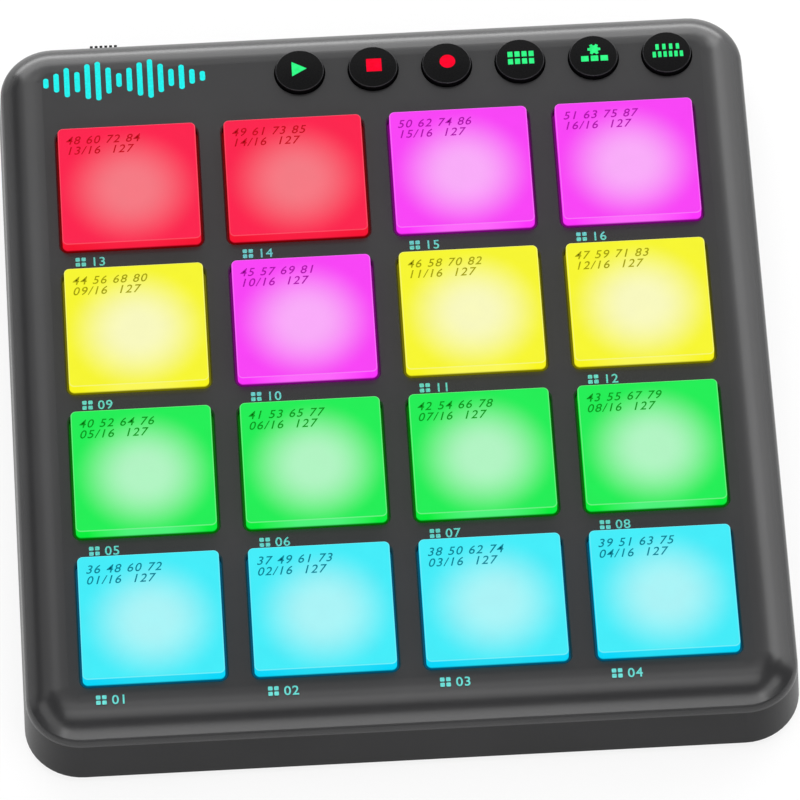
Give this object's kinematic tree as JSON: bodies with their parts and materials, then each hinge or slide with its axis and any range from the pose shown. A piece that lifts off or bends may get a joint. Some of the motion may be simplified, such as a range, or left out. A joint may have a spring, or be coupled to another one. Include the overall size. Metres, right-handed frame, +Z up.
{
  "type": "midi pad controller",
  "caption": "Low square desktop pad controller with lit drum pads, a row of round buttons, a power slide switch, a USB-C socket and a MIDI jack.",
  "frame": {"origin": "on the table, under the middle of the housing's outline", "axes": "+X to the player's right, +Y away from the player towards the sockets, +Z up out of the pads"},
  "size_m": [0.1544, 0.1678, 0.0212],
  "materials": {
    "housing_plastic": "fine satin moulded plastic, dark grey",
    "button_plastic": "black plastic, half gloss",
    "black_plastic": "black moulded plastic",
    "white_plastic": "off-white moulded plastic",
    "sensor_film": "printed polyester film, dark",
    "circuit_board": "green solder mask",
    "led_package": "white lamp package",
    "chip_resin": "black epoxy",
    "plated_steel": "bright plated steel",
    "screw_steel": "dark zinc plate",
    "battery_foil": "laminated foil pouch",
    "foam_tape": "double-sided foam tape",
    "red_wire": "red insulation",
    "black_rubber": "black rubber",
    "light_pipe_green": "milky clear plastic, lit green",
    "light_pipe_red": "milky clear plastic, lit red",
    "pad_red": "translucent silicone, lit red",
    "pad_magenta": "translucent silicone, lit magenta",
    "pad_yellow": "translucent silicone, lit yellow",
    "pad_green": "translucent silicone, lit green",
    "pad_cyan": "translucent silicone, lit cyan"
  },
  "bodies": {
    "housing": {"top_housing": "housing_plastic", "bottom_housing": "housing_plastic", "pad_frame": "black_plastic", "sensor_film": "sensor_film", "main_board": "circuit_board", "pad_leds": "led_package", "button_leds": "led_package", "tact_switch_bodies": "black_plastic", "board_chips": "chip_resin", "wireless_module": "plated_steel", "usb_socket_shell": "plated_steel", "usb_socket_tongue": "black_plastic", "midi_jack": "black_plastic", "slide_switch_body": "plated_steel", "battery": "battery_foil", "battery_tape": "foam_tape", "battery_socket": "white_plastic", "battery_wire_red": "red_wire", "battery_wire_black": "black_rubber", "housing_screws": "screw_steel", "board_screws": "screw_steel", "rubber_feet": "black_rubber"},
    "power_switch": {"power_knob": "black_plastic", "slide_switch_lever": "black_plastic"},
    "pad_1_body": {"pad_1": "pad_cyan"},
    "pad_2_body": {"pad_2": "pad_cyan"},
    "pad_3_body": {"pad_3": "pad_cyan"},
    "pad_4_body": {"pad_4": "pad_cyan"},
    "pad_5_body": {"pad_5": "pad_green"},
    "pad_6_body": {"pad_6": "pad_green"},
    "pad_7_body": {"pad_7": "pad_green"},
    "pad_8_body": {"pad_8": "pad_green"},
    "pad_9_body": {"pad_9": "pad_yellow"},
    "pad_10_body": {"pad_10": "pad_magenta"},
    "pad_11_body": {"pad_11": "pad_yellow"},
    "pad_12_body": {"pad_12": "pad_yellow"},
    "pad_13_body": {"pad_13": "pad_red"},
    "pad_14_body": {"pad_14": "pad_red"},
    "pad_15_body": {"pad_15": "pad_magenta"},
    "pad_16_body": {"pad_16": "pad_magenta"},
    "play_button": {"play_cap": "button_plastic", "play_light_pipe": "light_pipe_green", "play_plunger": "white_plastic"},
    "stop_button": {"stop_cap": "button_plastic", "stop_light_pipe": "light_pipe_red", "stop_plunger": "white_plastic"},
    "record_button": {"record_cap": "button_plastic", "record_light_pipe": "light_pipe_red", "record_plunger": "white_plastic"},
    "bank_button": {"bank_cap": "button_plastic", "bank_light_pipe": "light_pipe_green", "bank_plunger": "white_plastic"},
    "shift_button": {"shift_cap": "button_plastic", "shift_light_pipe": "light_pipe_green", "shift_plunger": "white_plastic"},
    "repeat_button": {"repeat_cap": "button_plastic", "repeat_light_pipe": "light_pipe_green", "repeat_plunger": "white_plastic"}
  },
  "joints": [
    {"name": "pad_1_press", "type": "slide", "parent": "housing", "child": "pad_1_body", "axis": [0, 0, -1], "range_m": [0, 0.001], "stiffness_N_per_m": 800},
    {"name": "pad_2_press", "type": "slide", "parent": "housing", "child": "pad_2_body", "axis": [0, 0, -1], "range_m": [0, 0.001], "stiffness_N_per_m": 800},
    {"name": "pad_3_press", "type": "slide", "parent": "housing", "child": "pad_3_body", "axis": [0, 0, -1], "range_m": [0, 0.001], "stiffness_N_per_m": 800},
    {"name": "pad_4_press", "type": "slide", "parent": "housing", "child": "pad_4_body", "axis": [0, 0, -1], "range_m": [0, 0.001], "stiffness_N_per_m": 800},
    {"name": "pad_5_press", "type": "slide", "parent": "housing", "child": "pad_5_body", "axis": [0, 0, -1], "range_m": [0, 0.001], "stiffness_N_per_m": 800},
    {"name": "pad_6_press", "type": "slide", "parent": "housing", "child": "pad_6_body", "axis": [0, 0, -1], "range_m": [0, 0.001], "stiffness_N_per_m": 800},
    {"name": "pad_7_press", "type": "slide", "parent": "housing", "child": "pad_7_body", "axis": [0, 0, -1], "range_m": [0, 0.001], "stiffness_N_per_m": 800},
    {"name": "pad_8_press", "type": "slide", "parent": "housing", "child": "pad_8_body", "axis": [0, 0, -1], "range_m": [0, 0.001], "stiffness_N_per_m": 800},
    {"name": "pad_9_press", "type": "slide", "parent": "housing", "child": "pad_9_body", "axis": [0, 0, -1], "range_m": [0, 0.001], "stiffness_N_per_m": 800},
    {"name": "pad_10_press", "type": "slide", "parent": "housing", "child": "pad_10_body", "axis": [0, 0, -1], "range_m": [0, 0.001], "stiffness_N_per_m": 800},
    {"name": "pad_11_press", "type": "slide", "parent": "housing", "child": "pad_11_body", "axis": [0, 0, -1], "range_m": [0, 0.001], "stiffness_N_per_m": 800},
    {"name": "pad_12_press", "type": "slide", "parent": "housing", "child": "pad_12_body", "axis": [0, 0, -1], "range_m": [0, 0.001], "stiffness_N_per_m": 800},
    {"name": "pad_13_press", "type": "slide", "parent": "housing", "child": "pad_13_body", "axis": [0, 0, -1], "range_m": [0, 0.001], "stiffness_N_per_m": 800},
    {"name": "pad_14_press", "type": "slide", "parent": "housing", "child": "pad_14_body", "axis": [0, 0, -1], "range_m": [0, 0.001], "stiffness_N_per_m": 800},
    {"name": "pad_15_press", "type": "slide", "parent": "housing", "child": "pad_15_body", "axis": [0, 0, -1], "range_m": [0, 0.001], "stiffness_N_per_m": 800},
    {"name": "pad_16_press", "type": "slide", "parent": "housing", "child": "pad_16_body", "axis": [0, 0, -1], "range_m": [0, 0.001], "stiffness_N_per_m": 800},
    {"name": "play_press", "type": "slide", "parent": "housing", "child": "play_button", "axis": [0, 0, -1], "range_m": [0, 0.0005], "stiffness_N_per_m": 250},
    {"name": "stop_press", "type": "slide", "parent": "housing", "child": "stop_button", "axis": [0, 0, -1], "range_m": [0, 0.0005], "stiffness_N_per_m": 250},
    {"name": "record_press", "type": "slide", "parent": "housing", "child": "record_button", "axis": [0, 0, -1], "range_m": [0, 0.0005], "stiffness_N_per_m": 250},
    {"name": "bank_press", "type": "slide", "parent": "housing", "child": "bank_button", "axis": [0, 0, -1], "range_m": [0, 0.0005], "stiffness_N_per_m": 250},
    {"name": "shift_press", "type": "slide", "parent": "housing", "child": "shift_button", "axis": [0, 0, -1], "range_m": [0, 0.0005], "stiffness_N_per_m": 250},
    {"name": "repeat_press", "type": "slide", "parent": "housing", "child": "repeat_button", "axis": [0, 0, -1], "range_m": [0, 0.0005], "stiffness_N_per_m": 250},
    {"name": "power_slide", "type": "slide", "parent": "housing", "child": "power_switch", "axis": [1, 0, 0], "range_m": [0, 0.002]}
  ]
}
